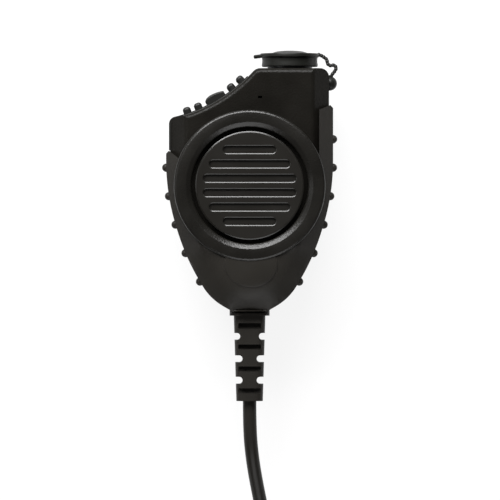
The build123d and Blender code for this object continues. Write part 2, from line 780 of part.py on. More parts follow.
def make_cord_clamp():
    half = clamp_reach + 2.5
    bar = block(-half, half, at(clamp_v) - clamp_w / 2, at(clamp_v) + clamp_w / 2, clamp_low, clamp_high)
    for x, y in clamp_posts:
        bar -= solid_disc(clamp_screw_r + 0.1, clamp_low - 1, mid_z, x, y)
    return bar


def make_clamp_screws():
    group = []
    for x, y in clamp_posts:
        head = solid_disc(clamp_screw_r + 1, clamp_low - 1.2, clamp_low, x, y)
        group.append(head + solid_disc(clamp_screw_r, clamp_low, mid_z + 3, x, y))
    return Compound(group)


# ---- clip ----
def hinge_barrel(r, x0, x1):
    # A cylinder on the clip's hinge line, from x0 to x1.
    x0, x1 = sorted((x0, x1))
    return Pos((x0 + x1) / 2, hinge_y, clip_hinge_z) * Rot(0, 90, 0) * Cylinder(r, x1 - x0)


def make_swivel_stud():
    head_high = head_seat - key_gap
    stud = solid_disc(stud_head_r, base_low + 0.1, head_high, 0, swivel_y)
    stud += solid_disc(stud_r, head_high, boss_low_z, 0, swivel_y)
    return stud + solid_disc(stud_foot_r, boss_low_z, foot_z, 0, swivel_y)


def make_clip_base():
    half = clip_w / 2
    base = block(-half, half, at(clip_tip_v), hinge_y - 5, base_low, base_high)
    base = fillet(base.edges().filter_by(Axis.Z), clip_corner)
    base = fillet(loop_at(base, base_high) + loop_at(base, base_low), clip_edge_r)
    for side in (1, -1):
        x0, x1 = sorted((side * (half - ear_w), side * half))
        base += block(x0, x1, hinge_y - 9, hinge_y + ear_round_r, clip_hinge_z, base_high)
        base += hinge_barrel(ear_round_r, x0, x1)
    base -= solid_disc(stud_r + shaft_gap, 0, base_high + 1, 0, swivel_y)
    base -= solid_disc(stud_head_r + key_gap, 0, head_seat, 0, swivel_y)
    return base - hinge_barrel(clip_pin_r, -half - 1, half + 1)


def jaw_panel(half, low_y, high_y):
    # A shallow sunk panel on the outer face of the jaw.
    outline = RectangleRounded(2 * half, high_y - low_y, clip_corner)
    return Pos(0, (low_y + high_y) / 2, 0) * extrude(outline, panel_deep)


def make_clip_jaw():
    half = clip_w / 2
    tip = at(clip_tip_v)
    jaw = block(-half, half, tip, hinge_y + thumb_length, 0, jaw_t)
    jaw = fillet(jaw.edges().filter_by(Axis.Z), clip_corner)
    jaw = fillet(loop_at(jaw, 0) + loop_at(jaw, jaw_t), clip_edge_r)
    jaw -= jaw_panel(half - panel_inset, tip + panel_inset, hinge_y - panel_inset)
    for row in range(thumb_grooves):
        y = hinge_y + thumb_length - 2.6 - groove_pitch * row
        jaw -= block(panel_inset - half, half - panel_inset, y - groove_w, y, -1, groove_deep)
    jaw += block(clip_corner - half, half - clip_corner, tip, tip + jaw_t, jaw_t, base_low - key_gap)
    for side in (1, -1):
        x0, x1 = sorted((side * (spring_half + 0.7), side * (half - ear_w - key_gap)))
        jaw += block(x0, x1, hinge_y - knuckle_r, hinge_y + knuckle_r, jaw_t, clip_hinge_z)
        jaw += hinge_barrel(knuckle_r, x0, x1)
    return jaw - hinge_barrel(clip_pin_r + shaft_gap, -half, half)


def make_clip_pin():
    return hinge_barrel(clip_pin_r, -clip_w / 2, clip_w / 2)


def make_clip_spring():
    # A sleeve for the wound wire, with a leg to the base and a leg to the jaw.
    spring = hinge_barrel(spring_r, -spring_half, spring_half)
    spring -= hinge_barrel(clip_pin_r, -spring_half, spring_half)
    for x, z in ((1 - spring_half, base_low - wire_r), (spring_half - 1, jaw_t + key_gap + wire_r)):
        leg = Pos(x, hinge_y - 6.5, z) * Rot(90, 0, 0) * Cylinder(wire_r, 12.0)
        spring += leg - hinge_barrel(spring_r - 0.8, -spring_half, spring_half)
    return spring


# ---- cord ----
exit_y = at(relief_end_v)
cord_points = [(0, exit_y, mid_z), (0, exit_y - 12.0, mid_z), (1.2, exit_y - 25.0, 23.2),
               (3.55, exit_y - 38.5, 15.2), (6.5, exit_y - 52.5, 7.2), (10.6, exit_y - 66.0, cord_r),
               (14.4, exit_y - 78.0, cord_r)]


def corner_radii(points):
    radii = []
    for a, b, c in zip(points, points[1:], points[2:]):
        first, second = Vector(*b) - Vector(*a), Vector(*c) - Vector(*b)
        turn = radians(first.get_angle(second))
        radii.append(0.45 * min(first.length, second.length) / tan(turn / 2))
    return radii


cord_path = FilletPolyline(*cord_points, radius=corner_radii(cord_points))
cord_end = Vector(*cord_points[-1])
cord_heading = (cord_end - Vector(*cord_points[-2])).normalized()
coil_w, coil_h = 2 * cord_d + 0.2, 1.86 * cord_d
coil_clear = sqrt((coil_r + coil_w / 2) ** 2 - (coil_r - cord_r) ** 2) + 0.5
coil_touch = cord_end + cord_heading * coil_clear
coil_centre = coil_touch + Vector(cord_heading.Y, -cord_heading.X, 0) * coil_r
tail_z = plug_t / 2
tail_x = coil_centre.X + coil_r
tail_y = coil_centre.Y - coil_clear
relief_y = tail_y - tail_length
plug_y = relief_y - plug_relief_length
pins_y = plug_y - plug_length


def tail_frame(y, x=tail_x):
    # Local z runs on along the tail, away from the coil.
    return Plane(origin=(x, y, tail_z), x_dir=(1, 0, 0), z_dir=(0, -1, 0))


def make_cord():
    return sweep(Plane(origin=cord_path @ 0, z_dir=cord_path % 0) * Circle(cord_r), path=cord_path)


def make_coil_tie():
    spot = Pos(coil_centre.X - coil_r, coil_centre.Y, coil_h / 2)
    return spot * (Box(coil_w + 1.0, tie_w, coil_h) - Box(coil_w - 0.6, tie_w + 1, coil_h - 1.0))


def make_cord_coil():
    section = Pos(coil_r, 0, coil_h / 2) * Rot(90, 0, 0) * RectangleRounded(coil_w, coil_h, cord_r)
    ring = Pos(coil_centre.X, coil_centre.Y, 0) * revolve(section, Axis.Z)
    ring += Plane(origin=cord_end, z_dir=cord_heading).location * solid_disc(cord_r, 0, coil_clear)
    ring += Pos(tail_x, tail_y, tail_z) * Rot(-90, 0, 0) * solid_disc(cord_r, 0, coil_clear)
    return ring - make_coil_tie()


def make_cord_tail():
    return tail_frame(tail_y).location * solid_disc(cord_r, 0, tail_length)


def make_plug_relief():
    start = tail_frame(relief_y)
    body = loft([start * Circle(cord_r + 0.9), start.offset(plug_relief_length) * Circle(cord_r + 2.2)])
    for step in range(4):
        low = 2.6 + 3.6 * step
        body -= start.location * tube(9, cord_r + 0.7, low, low + 1.4)
    return body


def make_plug_body():
    body = block(tail_x - plug_w / 2, tail_x + plug_w / 2, pins_y, plug_y, 0, plug_t)
    body = fillet(body.edges().filter_by(Axis.Z), 4.0)
    body = fillet(body.edges().group_by(Axis.Z)[-1], 1.5)
    return fillet(body.edges().group_by(Axis.Z)[0], 0.6)


def make_plug_pins():
    # Each pin has a narrow throat and a pointed tip.
    point = (Align.CENTER, Align.CENTER, Align.MIN)
    throat = pin_length - tip_length - throat_length
    pins = []
    for side, r in ((1, pin_big_r), (-1, pin_small_r)):
        pin = solid_disc(r, 0, throat)
        pin += Pos(0, 0, throat) * Cone(0.72 * r, r, throat_length, align=point)
        pin += Pos(0, 0, pin_length - tip_length) * Cone(r, 0.4 * r, tip_length, align=point)
        pins.append(tail_frame(pins_y, tail_x + side * pin_gap / 2).location * pin)
    return Compound(pins)


def make_shell_seal():
    return seal_band


makers = [
    make_front_shell, make_rear_shell, make_shell_seal, make_shell_screws, make_grip_boot, make_speaker_ring,
    make_press_plate, make_plate_retainers, make_plate_wave_spring, make_plate_switch, make_acoustic_mesh,
    make_speaker_gasket, make_speaker_frame, make_speaker_cone, make_speaker_magnet, make_main_board,
    make_board_parts, make_board_screws, make_board_connector, make_lead_wires, make_inner_cable,
    make_cord_clamp, make_clamp_screws, make_mic_capsule, make_mic_boot, make_key_strip, make_slope_key,
    make_slope_switch, make_slope_board, make_side_key, make_side_switch, make_side_board, make_socket_body,
    make_socket_seal, make_socket_nut, make_socket_tags, make_dust_cap, make_cap_seal, make_cap_tether,
    make_tether_anchor, make_strain_relief, make_swivel_stud, make_clip_base, make_clip_jaw, make_clip_pin,
    make_clip_spring, make_cord, make_cord_coil, make_coil_tie, make_cord_tail, make_plug_relief,
    make_plug_body, make_plug_pins,
]

os.makedirs("parts", exist_ok=True)
for maker in makers:
    name = maker.__name__.removeprefix("make_")
    export_step(maker(), f"parts/{name}.step")
    print(name, "made")
print("cord radii", [round(r, 1) for r in corner_radii(cord_points)])
print("cord volume over section times length", make_cord().volume / (pi * cord_r ** 2 * cord_path.length))
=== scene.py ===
import json
from math import atan2, cos, degrees, hypot, pi, radians, sin, sqrt

import bmesh
import bpy
from mathutils import Matrix, Vector
from mathutils.bvhtree import BVHTree


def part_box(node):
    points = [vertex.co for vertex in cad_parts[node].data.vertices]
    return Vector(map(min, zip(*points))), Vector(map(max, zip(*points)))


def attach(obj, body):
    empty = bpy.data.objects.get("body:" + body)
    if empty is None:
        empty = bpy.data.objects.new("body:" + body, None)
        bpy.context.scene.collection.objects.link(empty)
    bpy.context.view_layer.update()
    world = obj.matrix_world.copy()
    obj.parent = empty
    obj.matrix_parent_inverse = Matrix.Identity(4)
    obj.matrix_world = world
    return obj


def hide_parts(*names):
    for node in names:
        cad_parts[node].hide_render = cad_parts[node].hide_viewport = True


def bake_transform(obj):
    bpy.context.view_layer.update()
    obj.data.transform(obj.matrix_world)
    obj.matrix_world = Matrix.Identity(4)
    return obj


mm = 0.001

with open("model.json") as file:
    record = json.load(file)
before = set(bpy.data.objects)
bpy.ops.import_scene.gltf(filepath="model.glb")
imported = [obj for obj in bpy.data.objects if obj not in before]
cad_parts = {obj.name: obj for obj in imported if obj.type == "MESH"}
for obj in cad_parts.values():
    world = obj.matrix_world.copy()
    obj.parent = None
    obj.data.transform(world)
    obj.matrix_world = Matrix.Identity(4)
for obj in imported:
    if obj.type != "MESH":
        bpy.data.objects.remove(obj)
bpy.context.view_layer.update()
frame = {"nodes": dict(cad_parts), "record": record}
nodes = frame["nodes"]


def middle(node):
    low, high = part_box(node)
    return [(a + b) / 2 for a, b in zip(low, high)]


# Places that many pieces share, read from the frame.
plateX, plateY = middle("press_plate")[:2]
caseLow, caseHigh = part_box("front_shell")
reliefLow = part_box("strain_relief")[0]
print("frame read")


# ---- materials ----

def addSocket(group, way, name, kind="NodeSocketFloat"):
    group.interface.new_socket(name, in_out=way, socket_type=kind)


def addNode(tree, kind, **settings):
    node = tree.nodes.new(kind)
    for key, value in settings.items():
        setattr(node, key, value)
    return node


def setRange(node, side, limits):
    # Sets both ends of a Map Range node's From or To side.
    for end, value in zip(("Min", "Max"), limits):
        node.inputs[f"{side} {end}"].default_value = value


# The moulded skin: its texture's depth in mm, and its slow noise, of which only a middle stretch counts.
skinLook = dict(depth=0.05, fineDetail=3, slowScale=55, slowDetail=4, counts=(0.3, 0.7), swing=(-0.5, 0.5))


def buildMouldGroup():
    # Moulded skin: a fine spark texture and a slow change of tone and roughness.
    group = bpy.data.node_groups.new("mouldedSkin", "ShaderNodeTree")
    addSocket(group, "INPUT", "Tone", "NodeSocketColor")
    for name in ("Grain Scale", "Mottle", "Rough Low", "Rough High"):
        addSocket(group, "INPUT", name)
    addSocket(group, "OUTPUT", "Colour", "NodeSocketColor")
    addSocket(group, "OUTPUT", "Roughness")
    addSocket(group, "OUTPUT", "Height")
    link = group.links.new
    given = addNode(group, "NodeGroupInput")
    result = addNode(group, "NodeGroupOutput")
    place = addNode(group, "ShaderNodeTexCoord")
    grain = addNode(group, "ShaderNodeTexVoronoi", feature="F1")
    link(place.outputs["Object"], grain.inputs["Vector"])
    link(given.outputs["Grain Scale"], grain.inputs["Scale"])
    fine = addNode(group, "ShaderNodeTexNoise")
    fine.inputs["Detail"].default_value = skinLook["fineDetail"]
    link(place.outputs["Object"], fine.inputs["Vector"])
    link(given.outputs["Grain Scale"], fine.inputs["Scale"])
    height = addNode(group, "ShaderNodeMath", operation="ADD")
    link(grain.outputs["Distance"], height.inputs[0])
    link(fine.outputs["Fac"], height.inputs[1])
    link(height.outputs[0], result.inputs["Height"])
    slow = addNode(group, "ShaderNodeTexNoise")
    slow.inputs["Scale"].default_value = skinLook["slowScale"]
    slow.inputs["Detail"].default_value = skinLook["slowDetail"]
    link(place.outputs["Object"], slow.inputs["Vector"])
    swing = addNode(group, "ShaderNodeMapRange")
    setRange(swing, "From", skinLook["counts"])
    setRange(swing, "To", skinLook["swing"])
    link(slow.outputs["Fac"], swing.inputs["Value"])
    amount = addNode(group, "ShaderNodeMath", operation="MULTIPLY_ADD")
    amount.inputs[2].default_value = 1
    link(swing.outputs["Result"], amount.inputs[0])
    link(given.outputs["Mottle"], amount.inputs[1])
    tone = addNode(group, "ShaderNodeVectorMath", operation="SCALE")
    link(given.outputs["Tone"], tone.inputs[0])
    link(amount.outputs[0], tone.inputs["Scale"])
    link(tone.outputs[0], result.inputs["Colour"])
    rough = addNode(group, "ShaderNodeMapRange")
    setRange(rough, "From", skinLook["counts"])
    link(slow.outputs["Fac"], rough.inputs["Value"])
    link(given.outputs["Rough Low"], rough.inputs["To Min"])
    link(given.outputs["Rough High"], rough.inputs["To Max"])
    link(rough.outputs["Result"], result.inputs["Roughness"])
    return group


mouldGroup = buildMouldGroup()


def mould(name, tone, grain=2600, bump=0.25, mottle=0.15, rough=(0.42, 0.56), specular=0.17,
          metallic=0.0):
    material = bpy.data.materials.new(name)
    material.use_nodes = True
    tree = material.node_tree
    link = tree.links.new
    shader = tree.nodes["Principled BSDF"]
    shader.inputs["Metallic"].default_value = metallic
    shader.inputs["Specular IOR Level"].default_value = specular
    skin = addNode(tree, "ShaderNodeGroup", node_tree=mouldGroup)
    skin.inputs["Tone"].default_value = (*tone, 1)
    skin.inputs["Grain Scale"].default_value = grain
    skin.inputs["Mottle"].default_value = mottle
    skin.inputs["Rough Low"].default_value = rough[0]
    skin.inputs["Rough High"].default_value = rough[1]
    link(skin.outputs["Colour"], shader.inputs["Base Color"])
    link(skin.outputs["Roughness"], shader.inputs["Roughness"])
    relief = addNode(tree, "ShaderNodeBump")
    relief.inputs["Strength"].default_value = bump
    relief.inputs["Distance"].default_value = skinLook["depth"] * mm
    link(skin.outputs["Height"], relief.inputs["Height"])
    link(relief.outputs["Normal"], shader.inputs["Normal"])
    return material


# Name, colour, grain scale, strength of the texture, mottle, lowest and highest roughness, specular.
finishes = {
    "case": mould("caseAbs", (0.0056, 0.0051, 0.0042), 1400, 0.9, 0.45, (0.28, 0.38), 0.07),
    "bezel": mould("ringAbs", (0.0062, 0.0057, 0.0048), 1400, 0.8, 0.45, (0.25, 0.35), 0.24),
    "plate": mould("plateAbs", (0.0074, 0.0067, 0.0056), 3200, 0.05, 0.12, (0.3, 0.4), 0.22),
    "grip": mould("gripRubber", (0.0142, 0.0129, 0.011), 3600, 0.12, 0.15, (0.36, 0.48), 0.12),
    "key_rubber": mould("keyRubber", (0.0085, 0.0085, 0.0078), 3400, 0.15, 0.15, (0.32, 0.42)),
    "cap_rubber": mould("capRubber", (0.0062, 0.0064, 0.0054), 3400, 0.15, 0.15, (0.34, 0.44)),
    "tether_nylon": mould("tetherNylon", (0.014, 0.0138, 0.013), 3400, 0.2, 0.15, (0.28, 0.38)),
    "relief_rubber": mould("reliefRubber", (0.0125, 0.0114, 0.0099), 3400, 0.12, 0.15, (0.34, 0.44),
                           0.13),
    "jacket": mould("cordJacket", (0.0115, 0.0105, 0.009), 3000, 0.12, 0.15, (0.32, 0.42), 0.12),
    "clip_plastic": mould("clipNylon", (0.0095, 0.0092, 0.0086), 2200, 0.3, 0.2, (0.3, 0.42)),
    "steel": mould("plainSteel", (0.55, 0.55, 0.54), 900, 0.1, 0.1, (0.25, 0.4), metallic=1.0),
    "black_steel": mould("blackedSteel", (0.04, 0.04, 0.042), 1200, 0.2, 0.2, (0.3, 0.45), metallic=1.0),
    "socket_metal": mould("socketMetal", (0.045, 0.045, 0.046), 900, 0.1, 0.1, (0.3, 0.4), metallic=1.0),
    "brass": mould("turnedBrass", (0.6, 0.42, 0.16), 900, 0.1, 0.1, (0.25, 0.35), metallic=1.0),
    "board": mould("boardGreen", (0.01, 0.09, 0.03), 900, 0.1, 0.2, (0.35, 0.45)),
    "chip": mould("chipBlack", (0.02, 0.02, 0.02), 1500, 0.2, 0.1, (0.5, 0.6)),
    "cone_paper": mould("conePaper", (0.06, 0.055, 0.05), 1500, 0.5, 0.2, (0.8, 0.9)),
    "mesh_cloth": mould("meshCloth", (0.006, 0.006, 0.006), 1800, 0.8, 0.1, (0.85, 0.95), specular=0.2),
    "wire_skin": mould("wireSkin", (0.4, 0.05, 0.04), 1500, 0.1, 0.1, (0.4, 0.5)),
    "nickel": mould("nickelPlate", (0.62, 0.6, 0.55), 900, 0.05, 0.08, (0.16, 0.26), metallic=1.0),
    "tie_skin": mould("tieSkin", (0.015, 0.015, 0.015), 1500, 0.6, 0.2, (0.6, 0.75)),
}
lipFinish = mould("plateEdge", (0.0074, 0.0067, 0.0056), 3200, 0.0, 0.1, (0.24, 0.3), 0.3)
# Painted shade: the mic capsule gets a near-black, rough finish so that the mic hole over it reads dark.
capsulePaintedShade = mould("capsulePaintedShade", (0.004, 0.004, 0.004), 2500, 0.8, 0.1, (0.9, 0.95), specular=0.1)
nodeSlots = {entry["node"]: entry["material_slot"] for entry in frame["record"]["subparts"]}


def dress(piece, slot):
    piece.data.materials.clear()
    piece.data.materials.append(finishes[slot])


for nodeName, nodeObject in nodes.items():
    dress(nodeObject, nodeSlots[nodeName])
# The near-black capsule is painted shade that makes the mic hole look dark.
nodes["mic_capsule"].data.materials[0] = capsulePaintedShade
print("materials made")


# ---- making pieces ----

# Points nearer than these become one.
weld = 0.002 * mm
fineWeld = 0.001 * mm
upY = Matrix.Rotation(radians(-90), 4, "X")
awayY = Matrix.Rotation(radians(90), 4, "X")


def placed(x, y, z, turn=Matrix.Identity(4)):
    return Matrix.Translation((x, y, z)) @ turn


def finishPiece(name, bm, body, slot, stands=(), crease=35):
    bmesh.ops.remove_doubles(bm, verts=bm.verts, dist=weld)
    bmesh.ops.recalc_face_normals(bm, faces=bm.faces)
    mesh = bpy.data.meshes.new(name)
    bm.to_mesh(mesh)
    bm.free()
    return finishMesh(name, mesh, body, slot, stands, crease)


def finishMesh(name, mesh, body, slot, stands=(), crease=35):
    mesh.shade_smooth()
    mesh.set_sharp_from_angle(angle=radians(crease))
    piece = bpy.data.objects.new(name, mesh)
    bpy.context.scene.collection.objects.link(piece)
    dress(piece, slot)
    if body:
        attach(piece, body)
    if stands:
        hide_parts(*stands)
    return piece


def spinProfile(bm, profile, place, steps=96):
    # Turns a half section, given as (radius, height) in mm, about its own upright axis.
    before = set(bm.verts)
    line = [bm.verts.new((r * mm, 0, h * mm)) for r, h in profile]
    edges = [bm.edges.new(pair) for pair in zip(line, line[1:])]
    bmesh.ops.spin(bm, geom=line + edges, cent=(0, 0, 0), axis=(0, 0, 1), dvec=(0, 0, 0), angle=2 * pi,
                   steps=steps, use_merge=True, use_duplicate=False)
    made = [v for v in bm.verts if v not in before]
    bmesh.ops.remove_doubles(bm, verts=made, dist=fineWeld)
    made = [v for v in bm.verts if v not in before]
    bmesh.ops.transform(bm, matrix=place, verts=made)
    return made


def addLoop(bm, points):
    # A closed loop of edges through these points.
    verts = [bm.verts.new(point) for point in points]
    return [bm.edges.new(pair) for pair in zip(verts, verts[1:] + verts[:1])]


def bridgeAll(bm, loops):
    for first, second in zip(loops, loops[1:]):
        bmesh.ops.bridge_loops(bm, edges=first + second)


def roundedBlock(bm, size, place, radius, segments=3):
    made = bmesh.ops.create_cube(bm, size=1)["verts"]
    bmesh.ops.scale(bm, vec=[side * mm for side in size], verts=made)
    edges = list({edge for vert in made for edge in vert.link_edges})
    result = bmesh.ops.bevel(bm, geom=edges, offset=radius * mm, segments=segments, profile=0.5,
                             affect="EDGES", material=-1)
    made = list({vert for face in result["faces"] for vert in face.verts})
    bmesh.ops.transform(bm, matrix=place, verts=made)
    return made


def smoothLine(name, points, order=3):
    # A NURBS curve with these control points, in metres.
    data = bpy.data.curves.new(name, "CURVE")
    data.dimensions = "3D"
    data.resolution_u = 8
    spline = data.splines.new("NURBS")
    spline.points.add(len(points) - 1)
    for spot, point in zip(spline.points, points):
        spot.co = (*point, 1)
    spline.order_u = order
    spline.use_endpoint_u = True
    curve = bpy.data.objects.new(name, data)
    bpy.context.scene.collection.objects.link(curve)
    return curve


def makeRound(curve, radius, steps):
    # Gives a curve a round section, with its radius in mm, and closed ends.
    curve.data.bevel_depth = radius * mm
    curve.data.bevel_resolution = steps
    curve.data.use_fill_caps = True


def lineMesh(curve):
    # The curve's points, or its tube if it has a bevel, as a mesh; the curve goes.
    bpy.context.view_layer.update()
    shown = curve.evaluated_get(bpy.context.evaluated_depsgraph_get())
    mesh = bpy.data.meshes.new_from_object(shown)
    bpy.data.objects.remove(curve)
    return mesh


def evenSpots(points, spacing):
    # Spots at an even spacing along a chain of points.
    spots = [points[0]]
    left = spacing
    for first, second in zip(points, points[1:]):
        step = (second - first).length
        gone = 0
        while step - gone >= left:
            gone += left
            spots.append(first.lerp(second, gone / step))
            left = spacing
        left -= step - gone
    return spots


# ---- cord ----

coilLow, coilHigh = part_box("cord_coil")
coilReach = (coilHigh.y - coilLow.y) / 2
coilX, coilY = coilHigh.x - coilReach, (coilLow.y + coilHigh.y) / 2
tailX, _, tailZ = middle("cord_tail")
exitY = reliefLow[1]
# The route is in mm, with Y counted from the strain relief's end.
# The way out of the coil is in mm from the coil's middle.
# goIn, climb and goOut are degrees turned where each starts and ends; tieFade is degrees from the tie.
cord = dict(radius=2.85, length=0.69, floor=2.85, turns=3, pointsPerTurn=24, entry=17.56, outerTurn=31.9,
            innerTurn=26.1, goIn=(235, 345), climb=(565, 675), goOut=(862, 972), crossing=720, airGap=0.02,
            tieLift=0.55, tieFade=(8, 40), sectionSteps=7,
            route=[(0, 0, 27), (0, -12, 27), (1.2, -25, 23.2), (3.55, -38.5, 15.2), (6.5, -52.5, 7.2),
                   (10.6, -66, 2.85), (14.4, -78, 2.85)],
            wayOut=[(32.06, 1.4, 8.6), (31.9, -9, 8.6), (30.8, -18, 8.0), (29.4, -26, 6.9),
                    (29, -32.5, 6.5), (29, -37, 6.5)])


def ramp(value, first, last):
    # 0 before first, 1 after last, smooth between them.
    share = min(1, max(0, (value - first) / (last - first)))
    return share * share * (3 - 2 * share)


def coilPlace(turned):
    # Radius, height and angle after this many degrees: round outside, then inside, then on top of both.
    outer, inner = cord["outerTurn"], cord["innerTurn"]
    radius = outer + (inner - outer) * (ramp(turned, *cord["goIn"]) - ramp(turned, *cord["goOut"]))
    between = min(outer - radius, radius - inner) if turned > cord["crossing"] else 0
    rise = sqrt((2 * cord["radius"] + cord["airGap"]) ** 2 - between ** 2)
    height = cord["floor"] + rise * ramp(turned, *cord["climb"])
    angle = cord["entry"] - turned
    fromTie = angle % 360 - 180
    height += cord["tieLift"] * (1 - ramp(abs(fromTie), *cord["tieFade"]))
    return radius, height, radians(angle)


def coilPoints():
    step = 360 / cord["pointsPerTurn"]
    # Control points stand a little outside the line that they make.
    swell = 1 / (0.5 + 0.5 * cos(radians(step / 2)))
    points = []
    for number in range(1, cord["turns"] * cord["pointsPerTurn"] + 1):
        radius, height, angle = coilPlace(number * step)
        points.append((radius * swell * cos(angle), radius * swell * sin(angle), height))
    return points


def makeCord():
    points = [(x * mm, exitY + y * mm, z * mm) for x, y, z in cord["route"]]
    points += [(coilX + x * mm, coilY + y * mm, z * mm) for x, y, z in coilPoints() + cord["wayOut"]]
    curve = smoothLine("cordLead", points)
    makeRound(curve, cord["radius"], cord["sectionSteps"])
    dress(curve, "jacket")
    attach(curve, "housing")
    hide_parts("cord", "cord_coil", "cord_tail")
    return curve


cordLead = makeCord()
print("cord laid")

strap = dict(width=6.0, thick=0.45, gap=0.08, steps=72, tail=(4.5, 0.5), edge=0.2)


def makeStrap():
    # A hook strap drawn round the strands on the coil's left side.
    outer, inner = cord["outerTurn"], cord["innerTurn"]
    turned = cord["entry"] + 180
    strands = []
    for passed in range(cord["turns"]):
        radius, height, _ = coilPlace(turned + 360 * passed)
        strands.append(Vector((-radius, height)))
    reach = cord["radius"] + strap["gap"]
    bm = bmesh.new()
    ring = bmesh.ops.create_circle(bm, segments=strap["steps"], radius=1)["verts"]
    for vert in ring:
        way = vert.co.xy.normalized()
        strand = max(strands, key=lambda s: s.dot(way))
        spot = strand + way * reach
        vert.co = (coilX + spot.x * mm, coilY - strap["width"] / 2 * mm, spot.y * mm)
    sweptEdges = bmesh.ops.extrude_edge_only(bm, edges=bm.edges[:])
    moved = [item for item in sweptEdges["geom"] if isinstance(item, bmesh.types.BMVert)]
    bmesh.ops.translate(bm, verts=moved, vec=(0, strap["width"] * mm, 0))
    bmesh.ops.recalc_face_normals(bm, faces=bm.faces)
    bmesh.ops.solidify(bm, geom=bm.faces[:], thickness=-strap["thick"] * mm)
    top = max(vert.co.z for vert in bm.verts)
    length, thick = strap["tail"]
    tailPlace = placed(coilX - (outer + inner) / 2 * mm, coilY, top)
    roundedBlock(bm, (length, strap["width"], thick), tailPlace, strap["edge"])
    return finishPiece("coilStrap", bm, "housing", "tie_skin", ("coil_tie",))


coilStrap = makeStrap()

plug = dict(reliefSteps=4, small=3.6, large=5.05, pitch=3.6, first=2.4, gapWidth=1.5, gapFloor=0.45,
            fit=0.02, endEdge=0.25, edge=0.2, gapEdge=0.1, steps=64)


def makePlugRelief():
    low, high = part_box("plug_relief")
    length = (high.y - low.y) / mm
    bore, floorSize = cord["radius"] + plug["fit"], cord["radius"] + plug["gapFloor"]
    edge, gapEdge = plug["edge"], plug["gapEdge"]
    profile = [(bore, 0), (plug["small"] - plug["endEdge"], 0), (plug["small"], plug["endEdge"])]
    for step in range(plug["reliefSteps"]):
        start = plug["first"] + plug["pitch"] * step
        size = plug["small"] + (plug["large"] - plug["small"]) * start / length
        end = start + plug["gapWidth"]
        profile += [(size, start - edge), (size - edge, start), (floorSize, start + gapEdge),
                    (floorSize, end - gapEdge), (size - gapEdge, end), (size + gapEdge, end + edge)]
    profile += [(plug["large"], length - edge), (plug["large"] - edge, length), (bore, length)]
    profile.append(profile[0])
    bm = bmesh.new()
    spinProfile(bm, profile, placed(tailX, high.y, tailZ, awayY), plug["steps"])
    return finishPiece("plugSleeve", bm, "housing", "relief_rubber", ("plug_relief",))


plugSleeve = makePlugRelief()
plugGrip = dict(bars=5, pitch=3.2, width=1.2, length=14.0, proud=0.5, edge=0.4)


def makePlugGrip():
    # Finger bars across the plug's upper face.
    low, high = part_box("plug_body")
    bm = bmesh.new()
    for bar in range(plugGrip["bars"]):
        y = (low.y + high.y) / 2 + plugGrip["pitch"] * (bar - (plugGrip["bars"] - 1) / 2) * mm
        size = (plugGrip["length"], plugGrip["width"], 2 * plugGrip["proud"])
        roundedBlock(bm, size, placed(tailX, y, high.z), plugGrip["edge"])
    return finishPiece("plugBars", bm, "housing", "relief_rubber")


plugBars = makePlugGrip()
# The section is (share of the radius, height from the throat); a band is given by its way from the tip.
pinShape = dict(spread=11.9, large=1.75, small=1.25, length=14.0, tip=2.5, root=-0.3, steps=40,
                section=[(1, -0.35), (0.93, -0.1), (0.7, 0.1), (0.7, 0.3), (0.95, 0.7), (1, 1.0),
                         (0.96, 1.3), (0.5, 2.3), (0.3, 2.5)],
                bands={1.75: (4.2, 6.8), 1.25: (5.2,)}, bandWidth=0.7, bandSides=(-0.3, 0.02))


def pinProfile(radius):
    # A jack pin: shank, narrow throat and pointed tip.
    throat = pinShape["length"] - pinShape["tip"]
    outline = [(share * radius, throat + height) for share, height in pinShape["section"]]
    return [(0, pinShape["root"]), (radius, pinShape["root"])] + outline + [(0, pinShape["length"])]


def makePins():
    metal, bands = bmesh.new(), bmesh.new()
    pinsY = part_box("plug_body")[0].y
    for side, radius in ((1, pinShape["large"]), (-1, pinShape["small"])):
        place = placed(tailX + side * pinShape["spread"] / 2 * mm, pinsY, tailZ, awayY)
        spinProfile(metal, pinProfile(radius), place, pinShape["steps"])
        inner, outer = (radius + out for out in pinShape["bandSides"])
        for back in pinShape["bands"][radius]:
            low = pinShape["length"] - back
            high = low + pinShape["bandWidth"]
            band = [(inner, low), (outer, low), (outer, high), (inner, high), (inner, low)]
            spinProfile(bands, band, place, pinShape["steps"])
    pins = finishPiece("pinContacts", metal, "housing", "nickel", ("plug_pins",))
    return pins, finishPiece("pinBands", bands, "housing", "chip")


pinContacts, pinBands = makePins()
print("plug and strap made")


# ---- socket cap, tether and ball ----

socketX, _, socketZ = middle("socket_body")
topY = caseHigh.y
# Half section as (radius, height) above the case's top: inside, rim, skirt, brim and low dome.
cap = dict(profile=[(0, 4.4), (9.8, 4.4), (9.8, 1.1), (10.0, 0.9), (11.5, 0.9), (11.8, 1.15), (11.8, 1.7),
                    (11.64, 2.6), (11.6, 3.9), (11.7, 4.6), (12.0, 4.82), (12.35, 4.92), (12.5, 5.15),
                    (12.5, 6.1), (12.38, 6.38), (12.0, 6.5), (8.6, 6.55), (7.5, 6.66), (6.9, 6.92),
                    (6.0, 7.22), (4.2, 7.52), (2.0, 7.66), (0, 7.68)],
           steps=112, crease=28, tabSize=(4.2, 1.45, 8.0), tabX=-13.1, tabHeight=5.25, tabDroop=7,
           tabEdge=0.45, tabEdgeSteps=4)


def makeCap():
    bm = bmesh.new()
    spinProfile(bm, cap["profile"], placed(socketX, topY, socketZ, upY), cap["steps"])
    droop = Matrix.Rotation(radians(cap["tabDroop"]), 4, "Z")
    tabPlace = placed(socketX + cap["tabX"] * mm, topY + cap["tabHeight"] * mm, socketZ, droop)
    roundedBlock(bm, cap["tabSize"], tabPlace, cap["tabEdge"], cap["tabEdgeSteps"])
    return finishPiece("socketCap", bm, "cap", "cap_rubber", ("dust_cap",), crease=cap["crease"])


